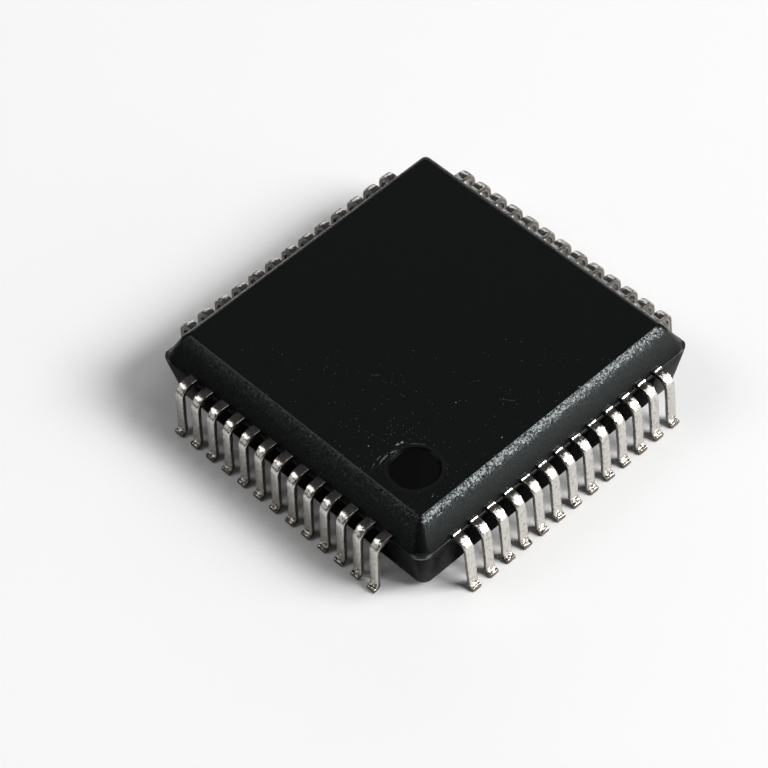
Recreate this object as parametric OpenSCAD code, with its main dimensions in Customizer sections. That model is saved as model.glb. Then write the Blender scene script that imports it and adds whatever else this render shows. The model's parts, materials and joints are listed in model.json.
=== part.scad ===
// Square quad flat package integrated circuit for surface mounting.
// Millimetres. The origin is on the seating plane below the middle of the body, +Z points up,
// and the corner mark and lead 1 are at the -X -Y corner. Leads count counterclockwise from above.

/* [Moulded body] */
// Side of the upper half of the square body at the parting line
body_size = 10.36; // [9:0.02:20]
// Height of the body above the parting line
upper_height = 0.88; // [0.7:0.01:2]
// Height of the body below the parting line
lower_height = 1.6; // [0.6:0.01:2]
// Gap between the seating plane and the underside of the body
standoff = 0.18; // [0.05:0.01:0.6]
// Lean of the upper walls away from vertical, in degrees
upper_draft = 28; // [5:1:35]
// Lean of the lower walls away from vertical, in degrees
lower_draft = 10; // [2:1:15]
// Radius of the rolled edge round the top face
top_edge_radius = 0.6; // [0.1:0.05:0.8]
// Slope at which the flat top face cuts off the rolled edge, in degrees up from the wall's level
top_edge_turn = 62; // [40:1:85]
// Radius of the edge round the underside
bottom_edge_radius = 0.1; // [0.05:0.01:0.3]
// Slope at which the flat underside cuts off its edge, in degrees
bottom_edge_turn = 80; // [40:1:85]
// How far the lower half stands out past the upper half at the parting line
parting_step = 0.05; // [0.02:0.01:0.2]
// Radius of the body's corners at the parting line, seen from above
corner_radius = 0.35; // [0.1:0.01:0.6]
// Radius of the corners of the top face
top_corner_radius = 0.12; // [0.02:0.01:0.6]
// Radius of the corners of the underside
bottom_corner_radius = 0.3; // [0.02:0.01:0.6]

/* [Moulded marks] */
// Diameter of the round mark in the top face beside lead 1
mark_diameter = 1.45; // [0.5:0.05:1.9]
// Depth of that mark
mark_depth = 0.06; // [0.02:0.01:0.2]
// Distance of the mark's middle from the -X edge of the top face
mark_inset_x = 1.05; // [1:0.01:3]
// Distance of the mark's middle from the -Y edge of the top face
mark_inset_y = 1.27; // [1:0.01:3]
// Diameter of the two ejector pin marks in the underside
ejector_diameter = 1.2; // [0.4:0.05:2]
// Depth of the ejector pin marks
ejector_depth = 0.03; // [0.01:0.01:0.1]
// Distance of each ejector mark's middle from the two nearest edges of the underside
ejector_inset = 2.1; // [1.2:0.05:3]
// Sideways run of the sloping wall of all three marks
mark_wall_run = 0.04; // [0.01:0.01:0.15]

/* [Leads] */
// Number of leads along each side
leads_per_side = 13; // [4:1:14]
// Distance from one lead to the next along a side
lead_pitch = 0.65; // [0.4:0.01:0.74]
// Width of a lead outside the body
lead_width = 0.3; // [0.15:0.01:0.38]
// Thickness of the strip that the leads and the pad are stamped from
strip_thickness = 0.15; // [0.1:0.01:0.25]
// Straight length of a lead from the body to its first bend
shoulder_length = 0.13; // [0.1:0.01:1.2]
// Inside radius of the bend at the shoulder
shoulder_radius = 0.25; // [0.1:0.01:0.5]
// Lean of the downward part of a lead away from vertical, in degrees
shank_lean = 3; // [0:1:25]
// Inside radius of the bend at the foot
foot_radius = 0.06; // [0.04:0.01:0.3]
// Flat length of the foot on the seating plane
foot_length = 0.06; // [0.04:0.01:1.2]

/* [Lead frame inside] */
// Side of the square pad that carries the die
pad_size = 5; // [4:0.1:8]
// How far the pad is pressed down below the level of the leads
pad_downset = 0.2; // [0.05:0.01:0.5]
// Width of the four bars that hold the pad from the corners
tie_width = 0.3; // [0.15:0.01:0.5]
// Length of a tie bar from the pad's corner to its slope
tie_flat = 0.3; // [0.1:0.05:0.8]
// Clear space between a tie bar and the nearest lead
tie_gap = 0.09; // [0.05:0.01:0.3]
// Clear space between the pad and the inner tips of the leads
tip_gap = 0.25; // [0.1:0.01:0.6]
// Width of a lead at its inner tip
tip_width = 0.18; // [0.12:0.01:0.25]

/* [Die and wires] */
// Side of the square die
die_size = 3.6; // [1.6:0.1:4.8]
// Thickness of the die
die_thickness = 0.3; // [0.15:0.01:0.5]
// Thickness of the layer that bonds the die to the pad
attach_thickness = 0.03; // [0.02:0.01:0.08]
// How far that layer stands out round the die
attach_margin = 0.05; // [0.02:0.01:0.09]
// Diameter of a bond wire
wire_diameter = 0.03; // [0.02:0.005:0.05]
// Rise of a wire's arch above the straight line between its ends
wire_loop = 0.2; // [0.1:0.01:0.35]
// Diameter of the bonded ball on the die and of the stitch on the lead
bond_diameter = 0.08; // [0.06:0.01:0.11]
// Height of the bonded ball
ball_height = 0.04; // [0.03:0.005:0.08]
// Distance of the bonds from the edge of the die
bond_inset = 0.12; // [0.08:0.01:0.2]
// Distance of the first bond of a row from the die's corner
bond_corner = 0.25; // [0.2:0.01:0.5]
// Distance of the stitch from the inner tip of the lead
stitch_inset = 0.15; // [0.08:0.01:0.3]

/* [Hidden] */
$fn = 48;
SIDES = 4;
// Flats that stand for each arc of the body and of the leads
ARC_STEPS = 10;
// Degrees from one flat of a rounded corner to the next
CORNER_STEP = 15;

// Levels above the seating plane
body_bottom = standoff;
lead_level = body_bottom + lower_height;
body_top = lead_level + upper_height;
lead_top = lead_level + strip_thickness / 2;
pad_top = lead_top - pad_downset;
attach_top = pad_top + attach_thickness;
die_top = attach_top + die_thickness;

// Distances out from the middle of the body
upper_half = body_size / 2;
lower_half = upper_half + parting_step;
shoulder_end = lower_half + shoulder_length;
row_half = (leads_per_side - 1) / 2 * lead_pitch;
tie_room = sqrt(2) * (tie_width / 2 + tie_gap);
tip_line = pad_size / 2 + tip_gap;
fan_line = max(row_half + lead_width / 2 + tie_room, tip_line + lead_width);
tip_pitch = min(lead_pitch, 2 * (tip_line - tie_room - tip_width / 2) / (leads_per_side - 1));
bond_pitch = (die_size - 2 * bond_corner) / (leads_per_side - 1);

// Centre line of a formed lead: it turns down by shank_turn, runs straight and turns out again
shank_turn = 90 - shank_lean;
shoulder_mid_radius = shoulder_radius + strip_thickness / 2;
foot_mid_radius = foot_radius + strip_thickness / 2;
bends_reach = (shoulder_mid_radius + foot_mid_radius) * sin(shank_turn);
bends_drop = (shoulder_mid_radius + foot_mid_radius) * (1 - cos(shank_turn));
shank_length = (lead_level - strip_thickness / 2 - bends_drop) / sin(shank_turn);
heel_end = shoulder_end + bends_reach + shank_length * cos(shank_turn);
lead_span = 2 * (heel_end + foot_length);

lead_count = SIDES * leads_per_side;

function lead_name(i) = str("lead_", i < 10 ? "0" : "", i);
function side_of(i) = floor((i - 1) / leads_per_side);
// Place of lead i in its row, counted in pitches from the middle of the side
function place_of(i) = (i - 1) % leads_per_side - (leads_per_side - 1) / 2;

// Points along an arc, from one angle to another
function arc(centre, radius, from, to) = [
    for (step = [0 : ARC_STEPS])
        let (angle = from + (to - from) * step / ARC_STEPS)
            centre + radius * [cos(angle), sin(angle)]
];
// The same points on the other side of the middle, in the order that goes on round
function mirrored(points) = [for (k = [len(points) - 1 : -1 : 0]) [-points[k].x, points[k].y]];

// Side view of one half of the body, out from the middle and up from the parting plane.
// A drafted wall runs into a rolled edge, and the flat face cuts that edge off at the slope edge_turn.
function half_outline(half, height, draft, edge_radius, edge_turn) =
    let (
        edge_level = height - edge_radius * sin(edge_turn),
        wall_end = edge_level + edge_radius * sin(draft),
        wall_out = half - wall_end * tan(draft),
        edge_out = wall_out - edge_radius * cos(draft)
    )
    concat([[half, 0]], arc([edge_out, edge_level], edge_radius, draft, edge_turn));

upper_outline = half_outline(upper_half, upper_height, upper_draft, top_edge_radius, top_edge_turn);
lower_outline = half_outline(lower_half, lower_height, lower_draft, bottom_edge_radius, bottom_edge_turn);
top_half = upper_outline[ARC_STEPS + 1].x;
bottom_half = lower_outline[ARC_STEPS + 1].x;

// How far a square with rounded corners reaches in the direction turn
function reach(half, radius, turn) = (half - radius) * (abs(cos(turn)) + abs(sin(turn))) + radius;

// One half of the body, standing on the parting plane at z = 0: what all its flats have in common.
// The radius of its corners changes evenly from the parting plane to the face.
module body_half(outline, height, face_radius) {
    function radius_at(level) = corner_radius + (face_radius - corner_radius) * level / height;
    intersection_for (turn = [0 : CORNER_STEP : 179])
        long_prism(
            [for (point = outline) [reach(point.x, radius_at(point.y), turn), point.y]],
            turn, 4 * outline[0].x
        );
}

// Prism whose end shows an outline and its mirror image, turned about Z
module long_prism(outline, turn, length) {
    rotate([90, 0, turn])
        linear_extrude(length, center = true)
            polygon(concat(outline, mirrored(outline)));
}

// Both halves of the moulding, without marks and without room for what it holds
module body_blank() {
    translate([0, 0, lead_level])
        body_half(upper_outline, upper_height, top_corner_radius);
    translate([0, 0, lead_level])
        mirror([0, 0, 1])
            body_half(lower_outline, lower_height, bottom_corner_radius);
}

// Shallow round recess with a sloping wall, cut down from z = 0
module round_mark(diameter, depth) {
    slope = mark_wall_run / depth;
    over = depth;
    translate([0, 0, -depth])
        cylinder(
            h = depth + over,
            d1 = diameter - 2 * mark_wall_run,
            d2 = diameter + 2 * slope * over
        );
}

module moulded_marks() {
    translate([mark_inset_x - top_half, mark_inset_y - top_half, body_top])
        round_mark(mark_diameter, mark_depth);
    ejector_place = bottom_half - ejector_inset;
    for (end = [-1, 1])
        translate([end * ejector_place, -end * ejector_place, body_bottom])
            mirror([0, 0, 1])
                round_mark(ejector_diameter, ejector_depth);
}

// Outline of lead i from above, on the -Y side: a straight strip that fans in towards the pad
module lead_outline(i) {
    root = place_of(i) * lead_pitch;
    tip = place_of(i) * tip_pitch;
    past_toe = lead_span / 2 + lead_width;
    polygon([
        [tip - tip_width / 2, -tip_line],
        [root - lead_width / 2, -fan_line],
        [root - lead_width / 2, -past_toe],
        [root + lead_width / 2, -past_toe],
        [root + lead_width / 2, -fan_line],
        [tip + tip_width / 2, -tip_line]
    ]);
}

// Side view of a formed lead: x runs outwards and y runs up from the seating plane
module lead_profile() {
    inner_end = tip_line - lead_width;
    shoulder_centre = [shoulder_end, lead_top - strip_thickness - shoulder_radius];
    foot_centre = [heel_end, strip_thickness + foot_radius];
    shank_side = 90 - shank_turn;
    polygon(concat(
        [[inner_end, lead_top]],
        arc(shoulder_centre, shoulder_radius + strip_thickness, 90, shank_side),
        arc(foot_centre, foot_radius, 180 + shank_side, 270),
        [[lead_span / 2, strip_thickness], [lead_span / 2, 0]],
        arc(foot_centre, foot_radius + strip_thickness, 270, 180 + shank_side),
        arc(shoulder_centre, shoulder_radius, shank_side, 90),
        [[inner_end, lead_top - strip_thickness]]
    ));
}

// Turns what is drawn on the -Y side to the side that lead i is on
module on_side_of(i) {
    rotate(90 * side_of(i))
        children();
}

module lead(i) {
    color("gainsboro")
        on_side_of(i)
            intersection() {
                rotate([90, 0, -90])
                    linear_extrude(2 * lower_half, center = true)
                        lead_profile();
                translate([0, 0, -strip_thickness])
                    linear_extrude(lead_level + 2 * strip_thickness)
                        lead_outline(i);
            }
}

// Room in the moulding for the inner end of lead i
module lead_room(i) {
    on_side_of(i)
        translate([0, 0, lead_level - strip_thickness / 2])
            linear_extrude(strip_thickness)
                lead_outline(i);
}

// Pad and tie bars as they leave the stamping press, before the bars are trimmed
module pad_blank() {
    pad_corner = pad_size / sqrt(2);
    slope_start = pad_corner + tie_flat;
    slope_end = slope_start + pad_downset;
    bar_end = sqrt(2) * lower_half + tie_width;
    translate([0, 0, pad_top - strip_thickness / 2])
        cube([pad_size, pad_size, strip_thickness], center = true);
    for (turn = [45 : 90 : 315])
        rotate([90, 0, turn])
            linear_extrude(tie_width, center = true)
                polygon([
                    [0, pad_top - strip_thickness], [slope_start, pad_top - strip_thickness],
                    [slope_end, lead_top - strip_thickness], [bar_end, lead_top - strip_thickness],
                    [bar_end, lead_top], [slope_end, lead_top],
                    [slope_start, pad_top], [0, pad_top]
                ]);
}

// The tie bars are trimmed flush with the corners of the body
module die_pad() {
    color("peru")
        intersection() {
            pad_blank();
            body_blank();
        }
}

module die_attach() {
    size = die_size + 2 * attach_margin;
    color("silver")
        translate([-size / 2, -size / 2, pad_top])
            cube([size, size, attach_thickness]);
}

module die() {
    color("slategray")
        translate([-die_size / 2, -die_size / 2, attach_top])
            cube([die_size, die_size, die_thickness]);
}

// Bond wire of lead i: a ball on the die, an arched wire and a flat stitch on the lead's inner end
module bond_wire(i) {
    along_lead = stitch_inset / (fan_line - tip_line);
    lead_shift = place_of(i) * (lead_pitch - tip_pitch);
    ball = [place_of(i) * bond_pitch, bond_inset - die_size / 2, die_top];
    stitch = [place_of(i) * tip_pitch + along_lead * lead_shift, -tip_line - stitch_inset, lead_top];
    // The arch is drawn upright and turned into the line from the ball to the stitch
    run = stitch - ball;
    level_run = norm([run.x, run.y]);
    chord = norm(run);
    radius = (chord * chord / 4 + wire_loop * wire_loop) / (2 * wire_loop);
    half_angle = asin(chord / 2 / radius);
    on_side_of(i) {
        translate(ball)
            cylinder(h = ball_height, d = bond_diameter);
        translate(stitch)
            cylinder(h = wire_diameter, d = bond_diameter);
        translate((ball + stitch) / 2 + [0, 0, wire_diameter / 2])
            rotate(atan2(run.y, run.x))
                rotate([90, -atan2(run.z, level_run), 0])
                    translate([0, wire_loop - radius])
                        rotate(90 - half_angle)
                            rotate_extrude(angle = 2 * half_angle)
                                translate([radius, 0])
                                    circle(d = wire_diameter);
    }
}

module bond_wires() {
    color("gold")
        for (i = [1 : lead_count])
            bond_wire(i);
}

module mould_body() {
    color([0.09, 0.09, 0.1])
        difference() {
            body_blank();
            moulded_marks();
            for (i = [1 : lead_count])
                lead_room(i);
            pad_blank();
            die_attach();
            die();
            bond_wires();
        }
}

for (i = [1 : lead_count])
    lead(i);
mould_body();
die_pad();
die_attach();
die();
bond_wires();
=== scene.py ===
# %% [markdown]
# # A quad flat package, dressed in Blender
#
# The real object is an integrated circuit about as wide as a fingernail: a black moulded square with
# thirteen formed metal leads on each side. OpenSCAD gave it its exact solids. This script loads them as
# a fixed frame and gives them what solids lack: moulded grain, bright tin, rounded edges, light and a
# camera.

import json
import math

import bmesh
import bpy
from mathutils import Matrix, Vector

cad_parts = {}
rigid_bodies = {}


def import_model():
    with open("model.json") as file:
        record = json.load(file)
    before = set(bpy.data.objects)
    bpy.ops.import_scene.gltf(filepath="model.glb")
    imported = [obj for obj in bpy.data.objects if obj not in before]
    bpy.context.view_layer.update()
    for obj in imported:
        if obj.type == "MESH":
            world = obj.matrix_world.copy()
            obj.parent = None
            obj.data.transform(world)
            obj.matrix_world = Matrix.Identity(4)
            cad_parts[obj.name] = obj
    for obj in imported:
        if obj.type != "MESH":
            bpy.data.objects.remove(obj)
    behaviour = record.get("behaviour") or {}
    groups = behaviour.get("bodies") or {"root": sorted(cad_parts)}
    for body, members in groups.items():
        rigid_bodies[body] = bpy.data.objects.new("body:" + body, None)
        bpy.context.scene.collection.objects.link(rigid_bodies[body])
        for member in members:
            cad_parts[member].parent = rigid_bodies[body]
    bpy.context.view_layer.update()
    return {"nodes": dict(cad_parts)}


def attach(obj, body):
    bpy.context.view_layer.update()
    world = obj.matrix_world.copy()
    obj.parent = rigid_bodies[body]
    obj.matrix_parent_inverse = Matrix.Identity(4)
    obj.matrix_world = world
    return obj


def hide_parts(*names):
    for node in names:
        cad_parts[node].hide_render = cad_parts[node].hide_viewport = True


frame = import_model()
MM = 0.001

# %% [markdown]
# ## Helpers for materials
#
# Colours are easiest to read as the hex values that a picture editor shows, but Blender's shaders add up
# light, so they want linear numbers. One function does that step. The next adds a node, sets its values
# and joins its inputs, so that a material reads from top to bottom like a recipe. The last starts a
# material. Everything on a part this small is thought of in millimetres, so it also hands over the place
# on the object in millimetres.

# %% Colour and node helpers
def linear(hex_colour):
    """The linear colour that a shader wants, from the hex value of a picture editor."""
    channels = [int(hex_colour[i : i + 2], 16) / 255 for i in (1, 3, 5)]
    return tuple(c / 12.92 if c <= 0.04045 else ((c + 0.055) / 1.055) ** 2.4 for c in channels) + (1.0,)


def add_node(tree, kind, inputs=None, **settings):
    """Adds a node. An input is a plain value, or the output socket of another node."""
    node = tree.nodes.new("ShaderNode" + kind)
    for name, value in settings.items():
        setattr(node, name, value)
    for name, value in (inputs or {}).items():
        socket = node.inputs[name]
        if isinstance(value, bpy.types.NodeSocket):
            tree.links.new(value, socket)
        else:
            socket.default_value = value
    return node


def new_material(name):
    """An empty material, its node tree, its output and the place on the object in millimetres."""
    material = bpy.data.materials.new(name)
    material.use_nodes = True
    tree = material.node_tree
    tree.nodes.clear()
    output = tree.nodes.new("ShaderNodeOutputMaterial")
    place = add_node(tree, "TexCoord").outputs["Object"]
    millimetres = add_node(tree, "VectorMath", {0: place, "Scale": 1 / MM}, operation="SCALE")
    return material, tree, output, millimetres.outputs["Vector"]


print("The grey #808080 is", round(linear("#808080")[0], 3), "in linear light")

# %% [markdown]
# ## Surfaces made of small facets
#
# Matt epoxy and matt tin have one thing in common: under a lamp they sparkle, because tiny facets lean
# every way and some of them face the light. A bump texture blurs such sparks into soft waves. So the
# surface is cut into small cells instead, and in each cell the normal leans its own way.
#
# In the photograph the side of the part towards -Y is brighter than the one towards -X, the moulding as
# well as the leads, because of how the light falls. Both materials follow that with painted shade: the
# leads are darker in colour and the moulding less shiny on the side towards -X, and the two sides at the
# back, which are hidden or blurred, are made like it. A second helper says which side a place belongs to.

# %% Leaning facets and the bright side
def leaning_normal(tree, place, facet_mm, lean):
    """A normal that leans its own way in each cell: the width of a cell and how far it may lean."""
    cells = add_node(tree, "TexVoronoi", {"Vector": place, "Scale": 1 / facet_mm}).outputs["Color"]
    ways = add_node(tree, "VectorMath", {0: cells, 1: (0.5, 0.5, 0.5)}, operation="SUBTRACT").outputs[0]
    tilt = add_node(tree, "VectorMath", {0: ways, "Scale": lean}, operation="SCALE").outputs[0]
    flat = add_node(tree, "NewGeometry").outputs["Normal"]
    leaned = add_node(tree, "VectorMath", {0: flat, 1: tilt}, operation="ADD").outputs[0]
    return add_node(tree, "VectorMath", {0: leaned}, operation="NORMALIZE").outputs[0]


def bright_side(tree, place):
    """One on the -Y side of the part and zero on the other three, with a short step on the diagonals."""
    split = add_node(tree, "SeparateXYZ", {"Vector": place}).outputs
    from_axes = add_node(tree, "VectorMath", {0: place}, operation="ABSOLUTE").outputs[0]
    sides = add_node(tree, "SeparateXYZ", {"Vector": from_axes}).outputs
    past_diagonal = add_node(tree, "Math", {0: split["Y"], 1: sides["X"]}, operation="ADD").outputs[0]
    values = {"Value": past_diagonal, "From Min": 0.1, "From Max": -0.1}
    return add_node(tree, "MapRange", values).outputs["Result"]


print("Helpers:", leaning_normal.__name__, "and", bright_side.__name__)

# %% [markdown]
# ## Black epoxy mould compound
#
# The body is epoxy with a heavy load of ground silica, pressed hot into a steel mould. The faces of such
# moulds are usually spark-eroded, and the tiny craters in the steel print on the epoxy. To the eye it is
# nearly black and matt, and along the rolled edge of the top the prints glint one by one under the lamp.
#
# The finish differs from place to place. So the material first works out where a place lies: how high,
# how near a corner, on which side and whether in the round mark. The colour, the grain and the shine all
# use that.

# %% Where a place lies on the moulding
BODY_TOP = 2.66
LEAD_LEVEL = 1.78
UNDERSIDE = 0.18
MARK_CENTRE = (-3.548, -3.328)
MARK_RADIUS = 0.725
MARK_DEPTH = 0.06

mould_compound, tree, output, place = new_material("black_epoxy_mould_compound")
split = add_node(tree, "SeparateXYZ", {"Vector": place}).outputs
level = split["Z"]
on_top = add_node(tree, "Math", {0: level, 1: BODY_TOP - 0.002}, operation="GREATER_THAN").outputs[0]
mark_middle = (*MARK_CENTRE, BODY_TOP - MARK_DEPTH / 2)
from_mark = add_node(tree, "VectorMath", {0: place, 1: mark_middle}, operation="DISTANCE").outputs["Value"]
in_mark = add_node(tree, "Math", {0: from_mark, 1: MARK_RADIUS + 0.012}, operation="LESS_THAN").outputs[0]
from_axes = add_node(tree, "VectorMath", {0: place}, operation="ABSOLUTE").outputs[0]
sides = add_node(tree, "SeparateXYZ", {"Vector": from_axes}).outputs
to_corner = add_node(tree, "Math", {0: sides["X"], 1: sides["Y"]}, operation="MINIMUM").outputs[0]
bright = bright_side(tree, place)
print("Top face", BODY_TOP, "mm, leads", LEAD_LEVEL, "mm and underside", UNDERSIDE, "mm above the board")

# %% [markdown]
# The top face carries dust, and round the mark a few short scuffs. Dust is a round speck in some cells
# of a pattern, with more of it towards the front corner and by the mark. A scuff is a short stretch of a
# thin ring: a place belongs to it if it lies near the ring and within the stretch. A fine noise breaks
# the scuffs up.

# %% Dust specks and scuffs
# Each scuff: middle of its ring, radius, half width, where it starts and ends in degrees, how pale it is
SCUFFS = [
    ((-3.78, -3.32), 0.84, 0.022, 66, 114, 0.5),
    ((-3.86, -3.30), 0.93, 0.012, 92, 122, 0.4),
    (MARK_CENTRE, 0.955, 0.030, 65, 78, 2.5),
    (MARK_CENTRE, 0.835, 0.014, 22, 56, 0.3),
    ((1.49, -2.35), 2.0, 0.010, -152, -140, 0.2),
    ((-1.40, 0.40), 0.9, 0.010, -142, -128, 0.2),
]
SCUFF_GRIT_MM = 0.09


def dust_specks(tree, place, share, cell_mm, largest):
    """Small spots: the share of the cells with one, the width of a cell, the largest spot as part of it."""
    values = {"Vector": place, "Scale": 1 / cell_mm}
    cells = add_node(tree, "TexVoronoi", values, voronoi_dimensions="2D").outputs
    chance = add_node(tree, "SeparateXYZ", {"Vector": cells["Color"]}).outputs
    chosen = add_node(tree, "Math", {0: chance["X"], 1: share}, operation="LESS_THAN").outputs[0]
    size = add_node(tree, "Math", {0: chance["Y"], 1: largest}, operation="MULTIPLY").outputs[0]
    small = add_node(tree, "Math", {0: cells["Distance"], 1: size}, operation="LESS_THAN").outputs[0]
    return add_node(tree, "Math", {0: chosen, 1: small}, operation="MULTIPLY").outputs[0]


def scuff_marks(tree, place):
    """All scuffs together, broken up into short pieces."""
    values = {"Vector": place, "Scale": 1 / SCUFF_GRIT_MM, "Detail": 2.0}
    grit = add_node(tree, "TexNoise", values).outputs["Fac"]
    values = {"Value": grit, "From Min": 0.4, "From Max": 0.65}
    broken = add_node(tree, "MapRange", values).outputs["Result"]
    total = 0.0
    for centre, radius, half_width, start, end, pale in SCUFFS:
        values = {0: place, 1: (*centre, BODY_TOP)}
        from_centre = add_node(tree, "VectorMath", values, operation="SUBTRACT").outputs[0]
        out = add_node(tree, "VectorMath", {0: from_centre}, operation="LENGTH").outputs["Value"]
        split = add_node(tree, "SeparateXYZ", {"Vector": from_centre}).outputs
        angle = add_node(tree, "Math", {0: split["Y"], 1: split["X"]}, operation="ARCTAN2").outputs[0]
        middle = math.radians(start + end) / 2
        reach = math.radians(end - start) / 2
        on_ring = add_node(tree, "Math", {0: out, 1: radius, 2: half_width}, operation="COMPARE").outputs[0]
        within = add_node(tree, "Math", {0: angle, 1: middle, 2: reach}, operation="COMPARE").outputs[0]
        scuffed = add_node(tree, "Math", {0: on_ring, 1: within}, operation="MULTIPLY").outputs[0]
        values = {0: scuffed, 1: pale, 2: total}
        total = add_node(tree, "Math", values, operation="MULTIPLY_ADD").outputs[0]
    return add_node(tree, "Math", {0: total, 1: broken}, operation="MULTIPLY", use_clamp=True).outputs[0]


print("Scuffs round the mark and on the top face:", len(SCUFFS))

# %% [markdown]
# Two sizes of specks make the dust: many small faint ones and a few larger pale ones. How thickly they
# lie is worked out once, from the distance to the front corner and to a dusty patch beside the mark.

# %% Dust on the top face
DUSTY_PATCH = (-3.3, -2.2, BODY_TOP)
# The share of the cells with a speck, at the front corner and in the patch
DUST_AT_FRONT = 0.30
DUST_IN_PATCH = 0.45
COARSE_SHARE = 0.13
# The width of a cell, the largest speck as part of it, and how pale fine dust is
FINE_DUST_MM = 0.12
FINE_LARGEST = 0.12
FINE_PALE = 0.3
COARSE_DUST_MM = 0.3
COARSE_LARGEST = 0.085


def dust_and_scuffs(tree, place):
    """How far dust or a scuff hides the epoxy."""
    values = {0: place, 1: (1, 1, 0)}
    to_back = add_node(tree, "VectorMath", values, operation="DOT_PRODUCT").outputs["Value"]
    values = {"Value": to_back, "From Min": -8.0, "From Max": 0.0, "To Min": DUST_AT_FRONT, "To Max": 0.0}
    near_front = add_node(tree, "MapRange", values).outputs["Result"]
    values = {0: place, 1: DUSTY_PATCH}
    from_patch = add_node(tree, "VectorMath", values, operation="DISTANCE").outputs["Value"]
    values = {"Value": from_patch, "From Min": 0.4, "From Max": 0.9, "To Min": DUST_IN_PATCH, "To Max": 0.0}
    in_patch = add_node(tree, "MapRange", values).outputs["Result"]
    share = add_node(tree, "Math", {0: near_front, 1: in_patch}, operation="ADD").outputs[0]
    few = add_node(tree, "Math", {0: share, 1: COARSE_SHARE}, operation="MULTIPLY").outputs[0]
    fine = dust_specks(tree, place, share, FINE_DUST_MM, FINE_LARGEST)
    coarse = dust_specks(tree, place, few, COARSE_DUST_MM, COARSE_LARGEST)
    faint = add_node(tree, "Math", {0: fine, 1: FINE_PALE}, operation="MULTIPLY").outputs[0]
    specks = add_node(tree, "Math", {0: faint, 1: coarse}, operation="MAXIMUM").outputs[0]
    return add_node(tree, "Math", {0: specks, 1: scuff_marks(tree, place)}, operation="MAXIMUM").outputs[0]


dirt = add_node(tree, "Math", {0: dust_and_scuffs(tree, place), 1: on_top}, operation="MULTIPLY").outputs[0]
print("Nodes in the mould compound with its dust:", len(tree.nodes))

# %% [markdown]
# The colour is painted in layers, each over the last: plain epoxy, a ring round the mark that is a
# little paler in the photograph, the floor of the mark, the dust, and a painted highlight in pale grey on
# the step between the two halves of the body at the corners.

# %% Colour of the mould compound
values = {"Value": from_mark, "From Min": MARK_RADIUS + 0.16, "From Max": MARK_RADIUS + 0.04}
ring_round_mark = add_node(tree, "MapRange", values).outputs["Result"]
on_step = add_node(tree, "Math", {0: level, 1: LEAD_LEVEL - 0.02, 2: 0.03}, operation="COMPARE").outputs[0]
values = {"Value": to_corner, "From Min": 4.78, "From Max": 4.95}
round_corner = add_node(tree, "MapRange", values).outputs["Result"]
# Painted highlight: at the corners the rounded step is coloured pale grey where the lamp catches it.
step_highlight = add_node(tree, "Math", {0: on_step, 1: round_corner}, operation="MULTIPLY").outputs[0]
layers = [(ring_round_mark, "#121313"), (in_mark, "#0b0b0b"), (dirt, "#8c8c8a"), (step_highlight, "#5a5a56")]
colour = linear("#0b0c0c")
for where, paint in layers:
    values = {"Factor": where, "A": colour, "B": linear(paint)}
    colour = add_node(tree, "Mix", values, data_type="RGBA").outputs["Result"]
print("Layers of colour over the plain epoxy:", len(layers))

# %% [markdown]
# The facets lean little on the walls and the flat top, and far on the rolled edge, where the photograph
# shows the glints. On the two sides away from the camera they lean less, because there the photograph
# shows no glints.

# %% Grain of the mould compound
# The real craters are about 0.02 mm wide. They are drawn one dot of the picture wide, so that they show.
CRATER_MM = 0.04
WALL_LEAN = 0.08
EDGE_LEAN = 0.38
EDGE_START = 2.41
FAR_SIDES = 0.4

values = {"Value": level, "From Min": EDGE_START - 0.12, "From Max": EDGE_START + 0.1}
values.update({"To Min": WALL_LEAN, "To Max": EDGE_LEAN})
by_level = add_node(tree, "MapRange", values).outputs["Result"]
to_back = add_node(tree, "Math", {0: split["X"], 1: split["Y"]}, operation="ADD").outputs[0]
values = {"Value": to_back, "From Min": -0.1, "From Max": 0.1, "To Min": 1.0, "To Max": FAR_SIDES}
near_side = add_node(tree, "MapRange", values).outputs["Result"]
on_side = add_node(tree, "Math", {0: by_level, 1: near_side}, operation="MULTIPLY").outputs[0]
values = {"Value": level, "From Min": BODY_TOP - 0.015, "From Max": BODY_TOP - 0.002}
near_top = add_node(tree, "MapRange", values).outputs["Result"]
on_flat = add_node(tree, "Math", {0: near_top, 1: in_mark}, operation="MAXIMUM").outputs[0]
values = {"Factor": on_flat, "A": on_side, "B": WALL_LEAN}
lean = add_node(tree, "Mix", values, data_type="FLOAT").outputs["Result"]
normal = leaning_normal(tree, place, CRATER_MM, lean)
print("Craters", CRATER_MM, "mm wide lean up to", EDGE_LEAN, "on the rolled edge")

# %% [markdown]
# In the photograph the walls grow darker downwards and are almost black between the leads, the wall towards
# -X is darker than the one towards -Y, and the floor of the mark is darker than the top. The shine follows
# that, and its low level on the sides away from -Y and between the leads is painted shade. The underside
# can't be seen there and gets a middling shine, so that from below its two marks stay visible.

# %% Shine of the mould compound
TOP_SHINE = 0.44
FULL_SHINE_LEVEL = 2.5
SHINE_AT_LEADS = 0.14
SHINE_BETWEEN_LEADS = 0.001
LOW_CORNER_SHINE = 0.04
UNDERSIDE_SHINE = 0.3
DARK_WALLS = 0.42
DARK_MARK = 0.3

# Painted shade: the shine is lower on the three sides away from -Y.
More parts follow.
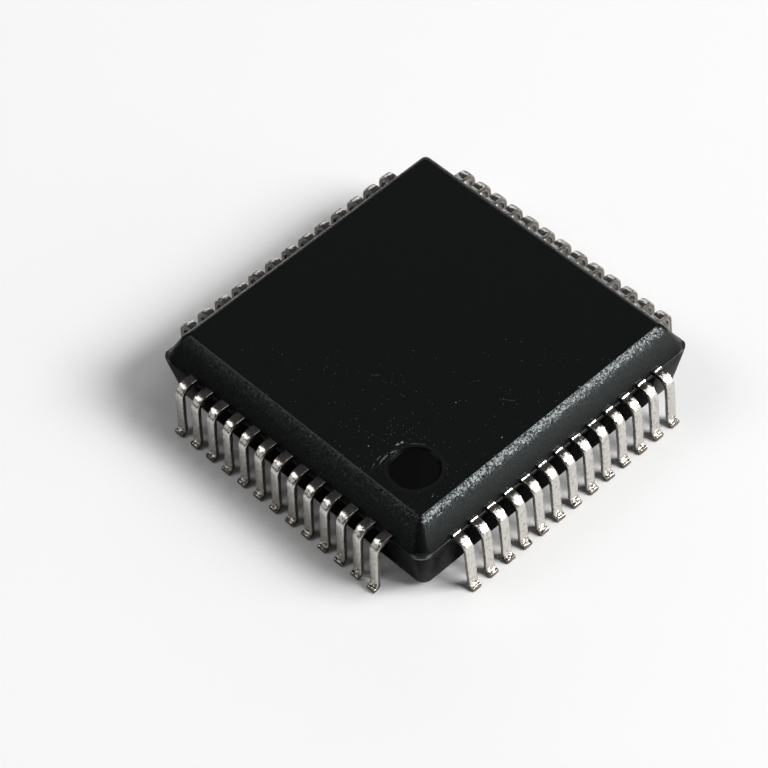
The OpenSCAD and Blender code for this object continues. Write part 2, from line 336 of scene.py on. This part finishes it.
values = {"Value": bright, "To Min": DARK_WALLS, "To Max": 1.0}
by_side = add_node(tree, "MapRange", values).outputs["Result"]
by_face = add_node(tree, "Math", {0: by_side, 1: on_top}, operation="MAXIMUM").outputs[0]
values = {"Value": level, "From Min": LEAD_LEVEL, "From Max": FULL_SHINE_LEVEL}
values.update({"To Min": SHINE_AT_LEADS, "To Max": TOP_SHINE})
down_the_wall = add_node(tree, "MapRange", values).outputs["Result"]
upper = add_node(tree, "Math", {0: down_the_wall, 1: by_face}, operation="MULTIPLY").outputs[0]
# Painted shade: between the leads the shine is almost nothing.
values = {"Value": to_corner, "From Min": 3.8, "From Max": 4.3}
values.update({"To Min": SHINE_BETWEEN_LEADS, "To Max": LOW_CORNER_SHINE})
past_leads = add_node(tree, "MapRange", values).outputs["Result"]
low_wall = add_node(tree, "Math", {0: past_leads, 1: by_side}, operation="MULTIPLY").outputs[0]
values = {"Value": level, "From Min": UNDERSIDE + 0.08, "From Max": UNDERSIDE + 0.04}
underneath = add_node(tree, "MapRange", values).outputs["Result"]
values = {"Factor": underneath, "A": low_wall, "B": UNDERSIDE_SHINE}
lower = add_node(tree, "Mix", values, data_type="FLOAT").outputs["Result"]
values = {"Value": level, "From Min": LEAD_LEVEL - 0.1, "From Max": LEAD_LEVEL - 0.05}
above = add_node(tree, "MapRange", values).outputs["Result"]
values = {"Factor": above, "A": lower, "B": upper}
body_shine = add_node(tree, "Mix", values, data_type="FLOAT").outputs["Result"]
values = {"Value": in_mark, "To Min": 1.0, "To Max": DARK_MARK}
by_mark = add_node(tree, "MapRange", values).outputs["Result"]
shine = add_node(tree, "Math", {0: body_shine, 1: by_mark}, operation="MULTIPLY").outputs[0]
print("Shine of the moulding from", SHINE_BETWEEN_LEADS, "between the leads to", TOP_SHINE, "at the top")

# %% [markdown]
# Filled epoxy bends light about as window glass does, so its IOR is 1.55. The facets carry most of its
# mattness, so each of them can be fairly smooth.

# %% Join the mould compound
values = {
    "Base Color": colour,
    "Roughness": 0.26,
    "IOR": 1.55,
    "Specular IOR Level": shine,
    # Painted reflection colour: the bluish tint stands in for the cool light that the walls mirror.
    "Specular Tint": linear("#f5ffff"),
    "Normal": normal,
}
surface = add_node(tree, "BsdfPrincipled", values)
tree.links.new(surface.outputs["BSDF"], output.inputs["Surface"])
print("Material:", mould_compound.name, "with", len(tree.nodes), "nodes")

# %% [markdown]
# ## Tin plate, the sheared edge and the cut end
#
# The leads are copper alloy strip, stamped to width and plated with matt tin. The wide faces are a satin
# white metal whose crystals each lean a little, with duller spots. The narrow sides were torn by the
# stamping tool before plating, so they are rougher and darker. The toe was cut off last, so its end
# shows a brown that comes from the bare copper.
#
# In the photograph the feet look pitted, and so do the shoulders, most of all on the -Y row. That row is
# also brighter than the one towards -X; the other three rows get a darker colour, which is painted shade.

# %% Metals of the leads
STRIP = 0.15
# Crystals of matt tin are a few thousandths of a millimetre wide. They are drawn coarser, so that they show.
CRYSTAL_MM = 0.05
DULL_SPOT_MM = 0.1
PITTING = 0.5
BRIGHT_ROW_SHOULDERS = 0.45
OTHER_SHOULDERS = 0.15
OTHER_ROWS_PAINTED_SHADE = 0.78


def pitted_places(tree, place, bright_row):
    """One at the feet, less on top of the shoulders and zero between them."""
    level = add_node(tree, "SeparateXYZ", {"Vector": place}).outputs["Z"]
    values = {"Value": level, "From Min": 0.35, "From Max": 0.2}
    at_foot = add_node(tree, "MapRange", values).outputs["Result"]
    values = {"Value": bright_row, "To Min": OTHER_SHOULDERS, "To Max": BRIGHT_ROW_SHOULDERS}
    by_row = add_node(tree, "MapRange", values).outputs["Result"]
    shoulder_top = LEAD_LEVEL + STRIP / 2
    values = {"Value": level, "From Min": shoulder_top - 0.02, "From Max": shoulder_top, "To Max": by_row}
    on_shoulder = add_node(tree, "MapRange", values).outputs["Result"]
    return add_node(tree, "Math", {0: at_foot, 1: on_shoulder}, operation="MAXIMUM").outputs[0]


def lead_metal(name, fresh, dull, lean, roughness):
    """A metal of leaning crystals, with spots of a duller tone."""
    material, tree, output, place = new_material(name)
    bright_row = bright_side(tree, place)
    pitted = pitted_places(tree, place, bright_row)
    values = {"Value": pitted, "To Min": lean, "To Max": lean + PITTING}
    crystal_lean = add_node(tree, "MapRange", values).outputs["Result"]
    values = {"Vector": place, "Scale": 1 / DULL_SPOT_MM, "Detail": 3.0}
    spots = add_node(tree, "TexNoise", values).outputs["Fac"]
    values = {"Value": pitted, "To Min": 0.5, "To Max": 0.36}
    first_dull = add_node(tree, "MapRange", values).outputs["Result"]
    values = {"Value": spots, "From Min": first_dull, "From Max": 0.75}
    dullness = add_node(tree, "MapRange", values).outputs["Result"]
    values = {"Factor": dullness, "A": linear(fresh), "B": linear(dull)}
    spotted = add_node(tree, "Mix", values, data_type="RGBA").outputs["Result"]
    # Painted shade: the rows other than the -Y row are darker in colour.
    values = {"Value": bright_row, "To Min": OTHER_ROWS_PAINTED_SHADE, "To Max": 1.0}
    by_row = add_node(tree, "MapRange", values).outputs["Result"]
    colour = add_node(tree, "VectorMath", {0: spotted, "Scale": by_row}, operation="SCALE").outputs[0]
    normal = leaning_normal(tree, place, CRYSTAL_MM, crystal_lean)
    values = {"Base Color": colour, "Metallic": 1.0, "Roughness": roughness, "Normal": normal}
    surface = add_node(tree, "BsdfPrincipled", values)
    tree.links.new(surface.outputs["BSDF"], output.inputs["Surface"])
    return material


tin_plate = lead_metal("matt_tin_plate", "#d8d5cf", "#a69e93", 0.12, 0.2)
sheared_edge = lead_metal("sheared_and_plated_edge", "#8b857d", "#59534c", 0.2, 0.3)
cut_end = lead_metal("cut_copper_end", "#948578", "#5c5048", 0.4, 0.4)
print("Lead metals:", tin_plate.name, sheared_edge.name, cut_end.name)

# %% [markdown]
# ## The formed leads
#
# Each lead is one flat strip: a finger that fans in towards the die, a straight shoulder, a bend down, a
# shank and a short foot. The solids have sharp corners and flats in the bends. A bevel on them would
# have to follow those flats, so here a rounded rectangle is swept along the same centre line instead. It
# bends truly, and its edges can catch a thin line of light.

# %% Sizes of a lead, the same as in the solids
LEADS_PER_SIDE = 13
PITCH = 0.65
LEAD_WIDTH = 0.30
TIP_LINE = 2.75
TIP_WIDTH = 0.18
TIE_BAR_WIDTH = 0.3
TIE_BAR_GAP = 0.09
TIE_ROOM = math.sqrt(2) * (TIE_BAR_WIDTH / 2 + TIE_BAR_GAP)
FAN_LINE = (LEADS_PER_SIDE - 1) / 2 * PITCH + LEAD_WIDTH / 2 + TIE_ROOM
TIP_PITCH = min(PITCH, 2 * (TIP_LINE - TIE_ROOM - TIP_WIDTH / 2) / (LEADS_PER_SIDE - 1))
SHOULDER_END = 5.36
BEND_INSIDE = 0.25
HEEL_INSIDE = 0.06
BEND_RADIUS = BEND_INSIDE + STRIP / 2
HEEL_RADIUS = HEEL_INSIDE + STRIP / 2
SHANK_TURN = math.radians(87)
FOOT_LENGTH = 0.06
print("Leads fan from a pitch of", round(TIP_PITCH, 3), "mm at the die to", PITCH, "mm outside")

# %% [markdown]
# The photograph shows a small bright bead across the root of each lead on the -Y side. The +X side is
# blurred there, and is given the same. A bead is a low swelling of the strip's upper face, so the centre
# line gets close stations there, and the rings of the sweep lift their upper half.

# %% Centre line of a lead
BEAD_OUT = 5.22
BEAD_RUN = 0.05
BEAD_HEIGHT = 0.028
BEAD_STATIONS = [BEAD_OUT + BEAD_RUN * step / 5 for step in range(-5, 6)]
SHOULDER_STATIONS = (TIP_LINE, FAN_LINE, 4.9, 5.05, *BEAD_STATIONS, 5.32)
SHANK_PARTS = (0.2, 0.4, 0.6, 0.8)
BEND_STEPS = 14
HEEL_STEPS = 10


def centre_line():
    """Stations along a lead from tip to toe: distance out, level and turn below the horizontal."""
    stations = [(out, LEAD_LEVEL, 0.0) for out in SHOULDER_STATIONS]
    for step in range(BEND_STEPS + 1):
        turn = SHANK_TURN * step / BEND_STEPS
        out = SHOULDER_END + BEND_RADIUS * math.sin(turn)
        stations.append((out, LEAD_LEVEL - BEND_RADIUS * (1 - math.cos(turn)), turn))
    bends_drop = (BEND_RADIUS + HEEL_RADIUS) * (1 - math.cos(SHANK_TURN))
    shank = (LEAD_LEVEL - STRIP / 2 - bends_drop) / math.sin(SHANK_TURN)
    top_out, top_level, _ = stations[-1]
    for part in SHANK_PARTS:
        out = top_out + part * shank * math.cos(SHANK_TURN)
        stations.append((out, top_level - part * shank * math.sin(SHANK_TURN), SHANK_TURN))
    heel_out = top_out + shank * math.cos(SHANK_TURN) + HEEL_RADIUS * math.sin(SHANK_TURN)
    for step in range(HEEL_STEPS + 1):
        turn = SHANK_TURN * (1 - step / HEEL_STEPS)
        out = heel_out - HEEL_RADIUS * math.sin(turn)
        stations.append((out, STRIP / 2 + HEEL_RADIUS * (1 - math.cos(turn)), turn))
    stations.append((heel_out + FOOT_LENGTH / 2, STRIP / 2, 0.0))
    stations.append((heel_out + FOOT_LENGTH, STRIP / 2, 0.0))
    return stations


CENTRE_LINE = centre_line()
print("Lead stations:", len(CENTRE_LINE), "toe at", round(CENTRE_LINE[-1][0], 3), "mm")

# %% [markdown]
# Round each station lies a ring of points, a rectangle with rounded corners. The corners are crisp on
# the shoulder and softer further down, as they look in the photograph.

# %% Rings round the strip
SHOULDER_EDGE = 0.012
SHANK_EDGE = 0.035
SOFTER_BELOW = LEAD_LEVEL - 0.05
EDGE_STEPS = 3
BEADED_SIDES = (0, 1)


def ring_outline(width, edge):
    """Rounded rectangle across a lead: places across the strip and through it."""
    corners = [(1, 1, 0), (-1, 1, 90), (-1, -1, 180), (1, -1, 270)]
    points = []
    for across, through, start in corners:
        centre = (across * (width / 2 - edge), through * (STRIP / 2 - edge))
        for step in range(EDGE_STEPS + 1):
            angle = math.radians(start + 90 * step / EDGE_STEPS)
            points.append((centre[0] + edge * math.cos(angle), centre[1] + edge * math.sin(angle)))
    return points


def lead_rings(mesh, side, place):
    """Rings of vertices from tip to toe, for a lead that points to -Y."""
    rings = []
    for out, level, turn in CENTRE_LINE:
        from_bead = min(abs(out - BEAD_OUT) / BEAD_RUN, 1.0)
        bead = BEAD_HEIGHT * math.cos(math.pi / 2 * from_bead) ** 2 if side in BEADED_SIDES else 0.0
        fanned = min(max((out - TIP_LINE) / (FAN_LINE - TIP_LINE), 0.0), 1.0)
        along = place * (TIP_PITCH + fanned * (PITCH - TIP_PITCH))
        width = TIP_WIDTH + fanned * (LEAD_WIDTH - TIP_WIDTH)
        edge = SHOULDER_EDGE if level > SOFTER_BELOW else SHANK_EDGE
        ring = []
        for across, through in ring_outline(width, edge):
            through += bead if through > 0 else 0.0
            y = -(out + through * math.sin(turn))
            point = Vector((along + across, y, level + through * math.cos(turn)))
            ring.append(mesh.verts.new(point * MM))
        rings.append(ring)
    return rings


print("Points in a ring:", len(ring_outline(LEAD_WIDTH, SHANK_EDGE)))

# %% [markdown]
# The rings are joined into a skin. The wide faces are tin and the narrow ones are sheared. On the
# shoulder the rounded corners count as sheared too, because there the photograph shows a dark outline. A
# weighted normal keeps the wide faces flat to the eye, so that only the rounded edges shade as curves.

# %% Build the leads
TIN, SHEARED, CUT = 0, 1, 2
DARK_OUTLINE_ABOVE = LEAD_LEVEL + 0.03


def finish_piece(mesh, name, materials, slot, *nodes):
    """Turns a bmesh into a piece of the scene that stands in for nodes of the frame."""
    bmesh.ops.recalc_face_normals(mesh, faces=mesh.faces)
    data = bpy.data.meshes.new(name)
    mesh.to_mesh(data)
    mesh.free()
    for material in materials:
        data.materials.append(material)
    piece = bpy.data.objects.new(name, data)
    bpy.context.collection.objects.link(piece)
    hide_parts(*nodes)
    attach(piece, "root")
    return piece


def build_lead(number):
    """One lead, counted round the part, with its place along the side counted from the middle."""
    side, place = divmod(number - 1, LEADS_PER_SIDE)
    mesh = bmesh.new()
    rings = lead_rings(mesh, side, place - (LEADS_PER_SIDE - 1) / 2)
    count = len(rings[0])
    corner = EDGE_STEPS + 1
    wide_faces = (corner - 1, 3 * corner - 1)
    narrow_faces = (2 * corner - 1, 4 * corner - 1)
    for ring, following in zip(rings, rings[1:]):
        on_shoulder = ring[0].co.z > DARK_OUTLINE_ABOVE * MM
        for k in range(count):
            corners = (ring[k], ring[(k + 1) % count], following[(k + 1) % count], following[k])
            face = mesh.faces.new(corners)
            sheared = k not in wide_faces if on_shoulder else k in narrow_faces
            face.material_index = SHEARED if sheared else TIN
            face.smooth = True
    for end in (rings[0], rings[-1]):
        mesh.faces.new(end).material_index = CUT
    bmesh.ops.rotate(mesh, verts=mesh.verts, matrix=Matrix.Rotation(math.pi / 2 * side, 3, "Z"))
    metals = (tin_plate, sheared_edge, cut_end)
    piece = finish_piece(mesh, f"formed_lead_{number:02d}", metals, "tin_plate", f"lead_{number:02d}")
    piece.modifiers.new("flat_faces", "WEIGHTED_NORMAL").weight = 100
    return piece


leads = [build_lead(number) for number in range(1, 4 * LEADS_PER_SIDE + 1)]
print("Leads:", len(leads), "faces in each:", len(leads[0].data.polygons))

# %% [markdown]
# ## The moulded body
#
# The mould has two halves that meet at the leads, so the body is two drafted halves with a small step
# between them. Every level of it is a square with rounded corners, so rings of such squares, one above
# the other, make its skin. The rings lie close together round the rolled top edge, which then shades as
# a true curve.

# %% Side view of the body
UPPER_HALF_WIDTH = 5.18
LOWER_HALF_WIDTH = 5.23
UPPER_HEIGHT = 0.88
LOWER_HEIGHT = 1.6
# Each half: half its width, its height, draft of the wall in degrees, radius and last turn of the edge
UPPER_HALF = (UPPER_HALF_WIDTH, UPPER_HEIGHT, 28, 0.6, 62)
LOWER_HALF = (LOWER_HALF_WIDTH, LOWER_HEIGHT, 10, 0.1, 80)
CORNER_RADIUS = 0.35
TOP_CORNER_LESS = 0.23
BOTTOM_CORNER_LESS = 0.05
PARTING_ROUND = 0.05
BOTTOM_EDGE_STEPS = 6
PARTING_STEPS = 6
TOP_EDGE_STEPS = 16


def half_outline(half, height, draft, edge_radius, edge_turn, steps):
    """Side view of a half of the body, from the end of its drafted wall round the edge to its face."""
    draft, edge_turn = math.radians(draft), math.radians(edge_turn)
    edge_level = height - edge_radius * math.sin(edge_turn)
    wall_end = edge_level + edge_radius * math.sin(draft)
    edge_out = half - wall_end * math.tan(draft) - edge_radius * math.cos(draft)
    points = []
    for step in range(steps + 1):
        turn = draft + (edge_turn - draft) * step / steps
        points.append((edge_out + edge_radius * math.cos(turn), edge_level + edge_radius * math.sin(turn)))
    return points


def body_profile():
    """Rings from the underside to the top face: half width, level and corner radius."""
    lower = half_outline(*LOWER_HALF, BOTTOM_EDGE_STEPS)
    upper = half_outline(*UPPER_HALF, TOP_EDGE_STEPS)
    rings = []
    for out, level in reversed(lower):
        rings.append((out, -level, CORNER_RADIUS - BOTTOM_CORNER_LESS * level / LOWER_HEIGHT))
    for step in range(PARTING_STEPS + 1):
        turn = math.radians(90 * step / PARTING_STEPS)
        out = LOWER_HALF_WIDTH - PARTING_ROUND * (1 - math.cos(turn))
        rings.append((out, -PARTING_ROUND * (1 - math.sin(turn)), CORNER_RADIUS))
    for out, level in upper:
        rings.append((out, level, CORNER_RADIUS - TOP_CORNER_LESS * level / UPPER_HEIGHT))
    return [(out, LEAD_LEVEL + level, radius) for out, level, radius in rings]


BODY_PROFILE = body_profile()
print("Rings of the body:", len(BODY_PROFILE), "half its top face:", round(BODY_PROFILE[-1][0], 3), "mm")

# %% [markdown]
# A ring is four rounded corners joined by straight sides. Two rings one above the other have the same
# number of points, so a band of four-sided faces joins them. The same band also makes the walls of the
# round marks.

# %% Rings and bands
CORNER_STEPS = 10


def square_ring(mesh, out, level, radius):
    """A square of vertices with rounded corners."""
    verts = []
    for quarter, (sign_x, sign_y) in enumerate(((1, 1), (-1, 1), (-1, -1), (1, -1))):
        for step in range(CORNER_STEPS + 1):
            angle = math.radians(90 * quarter + 90 * step / CORNER_STEPS)
            x = sign_x * (out - radius) + radius * math.cos(angle)
            y = sign_y * (out - radius) + radius * math.sin(angle)
            verts.append(mesh.verts.new((x * MM, y * MM, level * MM)))
    return verts


def bridge(mesh, ring, following):
    """A smooth band of faces between two rings."""
    count = len(ring)
    for k in range(count):
        corners = (ring[k], ring[(k + 1) % count], following[(k + 1) % count], following[k])
        mesh.faces.new(corners).smooth = True


print("Points in a ring of the body:", 4 * (CORNER_STEPS + 1))

# %% [markdown]
# The top face has one round mark. The underside is given two, because the pins that push a moulding out of
# its mould usually leave such marks. Each is a shallow dish with a sloping wall and slightly rounded rims.
# The flat face round them is filled in between the outer ring and the rim of each dish.

# %% Marks and faces of the body
MARK_STEPS = 72
MARK_WALL_RUN = 0.04
RIM = 0.008


def round_dish(mesh, centre, level, radius, depth, sign):
    """Rings of one mark, from the rim to its floor. Returns the rim."""
    floor_radius = radius - MARK_WALL_RUN
    # Each ring: distance from the middle and how far it lies below the face
    profile = [
        (radius + RIM, 0.0),
        (radius + 0.3 * RIM, -0.06 * depth),
        (radius - 0.3 * RIM, -0.20 * depth),
        (floor_radius + 0.3 * RIM, -0.80 * depth),
        (floor_radius - 0.3 * RIM, -0.94 * depth),
        (floor_radius - RIM, -depth),
    ]
    rings = []
    for out, drop in profile:
        ring = []
        for k in range(MARK_STEPS):
            angle = 2 * math.pi * k / MARK_STEPS
            x = centre[0] + out * math.cos(angle)
            y = centre[1] + out * math.sin(angle)
            ring.append(mesh.verts.new(Vector((x, y, level + sign * drop)) * MM))
        rings.append(ring)
    for ring, following in zip(rings, rings[1:]):
        bridge(mesh, ring, following)
    mesh.faces.new(rings[-1])
    return rings[0]


def loop_edges(mesh, ring):
    """The edges round a ring, made where they are missing."""
    return [mesh.edges.get((a, b)) or mesh.edges.new((a, b)) for a, b in zip(ring, ring[1:] + ring[:1])]


def fill_face(mesh, outer, holes):
    """A flat face between an outer ring and the rims of dishes, with sharp edges to them."""
    edges = [edge for ring in [outer] + holes for edge in loop_edges(mesh, ring)]
    bmesh.ops.triangle_fill(mesh, edges=edges, use_beauty=True)
    for edge in edges:
        edge.smooth = False


print("A mark is a dish of", MARK_STEPS, "steps with a wall", MARK_WALL_RUN, "mm wide")

# %% [markdown]
# Now the body can be put together: bands between all rings, a sharp line where the upper half rises from
# the step, the mark on top and the two marks of the ejector pins underneath.

# %% Build the body
EJECTOR_INSET = 2.1
EJECTOR_RADIUS = 0.6
EJECTOR_DEPTH = 0.03


def build_body():
    mesh = bmesh.new()
    rings = [square_ring(mesh, *ring) for ring in BODY_PROFILE]
    for ring, following in zip(rings, rings[1:]):
        bridge(mesh, ring, following)
    foot_of_upper_half = rings[BOTTOM_EDGE_STEPS + 1 + PARTING_STEPS]
    for edge in loop_edges(mesh, foot_of_upper_half):
        edge.smooth = False
    mark = round_dish(mesh, MARK_CENTRE, BODY_TOP, MARK_RADIUS, MARK_DEPTH, 1)
    fill_face(mesh, rings[-1], [mark])
    bottom = LEAD_LEVEL - LOWER_HEIGHT
    pin = BODY_PROFILE[0][0] - EJECTOR_INSET
    places = [(end * pin, -end * pin) for end in (-1, 1)]
    dishes = [round_dish(mesh, place, bottom, EJECTOR_RADIUS, EJECTOR_DEPTH, -1) for place in places]
    fill_face(mesh, rings[0], dishes)
    return finish_piece(mesh, "moulded_body", (mould_compound,), "mould_compound", "mould_body")


body = build_body()
print("Body faces:", len(body.data.polygons))

# %% [markdown]
# ## The pieces inside
#
# The pad, the die, the layer between them and the wires are hidden in the finished part, all but the ends
# of the pad's tie bars. They are there, so they get their own materials. The pad is bare rolled copper
# alloy, the attach layer is cured epoxy full of silver flakes, the die is polished silicon and the wires
# are drawn gold. One function serves all four: a plain colour with a faint grain.
#
# The pad's four tie bars end at the corners of the body, where they were trimmed. The photograph shows
# no bright metal above the step there, so the upper part of each end is dark. The lower part is grey, a
# painted highlight that joins the one painted on the step.

# %% Materials of the pieces inside
GRAIN_MM = 0.1
GRAIN_DEPTH = 0.002
TIE_BAR_END = 6.9


def plain_material(name, colour, metallic, roughness):
    """A plain material with a faint grain, and its parts for further work."""
    material, tree, output, place = new_material(name)
    grain = add_node(tree, "TexNoise", {"Vector": place, "Scale": 1 / GRAIN_MM, "Detail": 2.0})
    bump = add_node(tree, "Bump", {"Height": grain.outputs["Fac"], "Distance": GRAIN_DEPTH * MM})
    values = {"Base Color": linear(colour), "Metallic": metallic, "Roughness": roughness}
    surface = add_node(tree, "BsdfPrincipled", {**values, "Normal": bump.outputs["Normal"]})
    tree.links.new(surface.outputs["BSDF"], output.inputs["Surface"])
    return material, tree, surface, place


def copper_alloy_material():
    """Bare copper alloy; trimmed bar ends get a grey painted highlight below the leads' middle, dark above.
    """
    copper = "#b9825f"
    material, tree, surface, place = plain_material("bare_copper_alloy", copper, 1.0, 0.35)
    values = {0: place, 1: (0, 0, LEAD_LEVEL)}
    from_middle = add_node(tree, "VectorMath", values, operation="DISTANCE").outputs["Value"]
    values = {"Value": from_middle, "From Min": TIE_BAR_END, "From Max": TIE_BAR_END + 0.1}
    trimmed = add_node(tree, "MapRange", values).outputs["Result"]
    level = add_node(tree, "SeparateXYZ", {"Vector": place}).outputs["Z"]
    values = {"Value": level, "From Min": LEAD_LEVEL, "From Max": LEAD_LEVEL + 0.01}
    above_step = add_node(tree, "MapRange", values).outputs["Result"]
    dark = add_node(tree, "Math", {0: trimmed, 1: above_step}, operation="MULTIPLY").outputs[0]
    # Painted highlight: the grey on the trimmed ends stands in for light on them at the step.
    values = {"Factor": trimmed, "A": linear(copper), "B": linear("#7b7871")}
    grey_end_highlight = add_node(tree, "Mix", values, data_type="RGBA").outputs["Result"]
    values = {"Factor": dark, "A": grey_end_highlight, "B": linear("#0d0d0d")}
    colour = add_node(tree, "Mix", values, data_type="RGBA").outputs["Result"]
    metallic = add_node(tree, "MapRange", {"Value": dark, "To Min": 1.0, "To Max": 0.0}).outputs["Result"]
    tree.links.new(colour, surface.inputs["Base Color"])
    tree.links.new(metallic, surface.inputs["Metallic"])
    return material


inner_materials = {
    "die_pad": copper_alloy_material(),
    "die_attach": plain_material("silver_filled_epoxy", "#a3a3a1", 0.6, 0.5)[0],
    "die": plain_material("polished_silicon", "#5b5d63", 0.5, 0.12)[0],
    "bond_wires": plain_material("gold_wire", "#f3c65c", 1.0, 0.18)[0],
}
for name, material in inner_materials.items():
    node = frame["nodes"][name]
    node.data.materials.clear()
    node.data.materials.append(material)
print("Inner materials:", [material.name for material in inner_materials.values()])

# %% [markdown]
# ## The floor
#
# The part lies on white card, matt and without a pattern, so a diffuse surface is enough. The leads
# mirror the floor, and those that face left and back are darker in the photograph than white card would
# make them. So for mirrored rays, and only for them, the card turns grey from about 8 mm away on those
# sides. To the camera it stays white and keeps the part's shadow.

# %% Floor
FLOOR_SIZE = 2.0
WHITE_CARD = "#fcfcfc"
MIRRORED_CARD = "#4a4a4a"
GREY_FROM = 8.0
GREY_TO = 20.0


def floor_material():
    """White card that mirrored rays find grey further off, on the left and at the back."""
    material, tree, output, place = new_material("white_card")
    ways = []
    for way in ((-0.6, 0.8, 0), (0.8, 0.8, 0)):
        towards = add_node(tree, "VectorMath", {0: place, 1: way}, operation="DOT_PRODUCT")
        ways.append(towards.outputs["Value"])
    away = add_node(tree, "Math", {0: ways[0], 1: ways[1]}, operation="MAXIMUM").outputs[0]
    values = {"Value": away, "From Min": GREY_FROM, "From Max": GREY_TO}
    far_off = add_node(tree, "MapRange", values).outputs["Result"]
    mirrored = add_node(tree, "LightPath").outputs["Is Glossy Ray"]
    grey = add_node(tree, "Math", {0: far_off, 1: mirrored}, operation="MULTIPLY").outputs[0]
    values = {"Factor": grey, "A": linear(WHITE_CARD), "B": linear(MIRRORED_CARD)}
    colour = add_node(tree, "Mix", values, data_type="RGBA").outputs["Result"]
    surface = add_node(tree, "BsdfDiffuse", {"Color": colour})
    tree.links.new(surface.outputs["BSDF"], output.inputs["Surface"])
    return material


half = FLOOR_SIZE / 2
floor_corners = [(-half, -half, 0), (half, -half, 0), (half, half, 0), (-half, half, 0)]
floor_mesh = bpy.data.meshes.new("floor")
floor_mesh.from_pydata(floor_corners, [], [(0, 1, 2, 3)])
floor_mesh.materials.append(floor_material())
floor = bpy.data.objects.new("floor", floor_mesh)
bpy.context.collection.objects.link(floor)
print("Floor:", FLOOR_SIZE, "m square")

# %% [markdown]
# ## The lamps
#
# A strong softbox stands between the -Y and the +X side. Its direction was worked out from the part's
# shadow. A low and a high card on the same side draw out its highlight on the walls and the bends.
# Behind, a softbox and a card on the left light the bends of the left row, and a low card on the right
# those of the two far rows. A lamp is given as the part sees it: where it stands, how many degrees it
# covers and how bright its face is. That is easier to match to a highlight than watts are.

# %% Lamps
LAMP_DISTANCE = 0.7
ROOM = 0.05
# Each lamp: name, azimuth, elevation, half width and half height in degrees, brightness of its face
LAMPS = [
    ("key_softbox", 36, 38, 15, 11, 16.9),
    ("low_card", 30, 13, 18, 10, 2.0),
    ("high_card", 60, 62, 14, 10, 1.8),
    ("far_card", 135, 14, 25, 12, 1.3),
    ("back_softbox", -140, 46, 13, 13, 2.7),
    ("back_card", -125, 16, 18, 13, 0.7),
]


def direction(azimuth, elevation):
    """Unit vector towards a place in the sky; azimuth 0 is in front, on -Y, and 90 is on +X."""
    around, above = math.radians(azimuth), math.radians(elevation)
    level = math.cos(above)
    return Vector((math.sin(around) * level, -math.cos(around) * level, math.sin(above)))


def softbox(name, azimuth, elevation, half_width, half_height, brightness):
    """A flat lamp that faces the part."""
    lamp = bpy.data.lights.new(name, "AREA")
    lamp.shape = "RECTANGLE"
    lamp.size = 2 * LAMP_DISTANCE * math.tan(math.radians(half_width))
    lamp.size_y = 2 * LAMP_DISTANCE * math.tan(math.radians(half_height))
    lamp.energy = brightness * math.pi * lamp.size * lamp.size_y
    box = bpy.data.objects.new(name, lamp)
    towards = direction(azimuth, elevation)
    box.location = towards * LAMP_DISTANCE
    box.rotation_mode = "QUATERNION"
    box.rotation_quaternion = towards.to_track_quat("Z", "Y")
    bpy.context.collection.objects.link(box)
    return box


lamps = [softbox(*lamp) for lamp in LAMPS]
world = bpy.data.worlds.new("studio")
bpy.context.scene.world = world
world.use_nodes = True
world.node_tree.nodes["Background"].inputs["Color"].default_value = (ROOM, ROOM, ROOM, 1.0)
print("Lamps:", {lamp.name: round(lamp.data.energy, 2) for lamp in lamps})

# %% [markdown]
# ## The camera
#
# The camera was fitted to points of the part in the photograph. That gave its focal length in dots of
# the picture, its direction, a small roll and the point it looks at. Blender wants the lens in
# millimetres on its sensor, so the dots are scaled. The camera's axes are built from the direction and
# turned by the roll.

# %% Camera
PICTURE = 768
FOCAL_DOTS = 3400.0
SENSOR = 36.0
AZIMUTH, ELEVATION, ROLL = -40.319, 50.333, -4.708
TARGET = Vector((0.423, 2.339, -2.036)) * MM
DISTANCE = 98.947 * MM

camera_data = bpy.data.cameras.new("camera")
camera_data.sensor_width = SENSOR
camera_data.lens = FOCAL_DOTS / PICTURE * SENSOR
camera_data.clip_start, camera_data.clip_end = 0.001, 10.0
camera = bpy.data.objects.new("camera", camera_data)
back = direction(AZIMUTH, ELEVATION)
right = Vector((0, 0, 1)).cross(back).normalized()
up = back.cross(right)
roll = math.radians(ROLL)
tilted_right = right * math.cos(roll) + up * math.sin(roll)
tilted_up = up * math.cos(roll) - right * math.sin(roll)
axes = Matrix((tilted_right, tilted_up, back)).transposed().to_4x4()
camera.matrix_world = Matrix.Translation(TARGET + back * DISTANCE) @ axes
bpy.context.collection.objects.link(camera)
bpy.context.scene.camera = camera
bpy.context.scene.view_settings.view_transform = "Standard"
print("Camera lens:", round(camera_data.lens, 1), "mm at", round(DISTANCE / MM, 1), "mm from the part")

# %% [markdown]
#

bpy.context.view_layer.update()
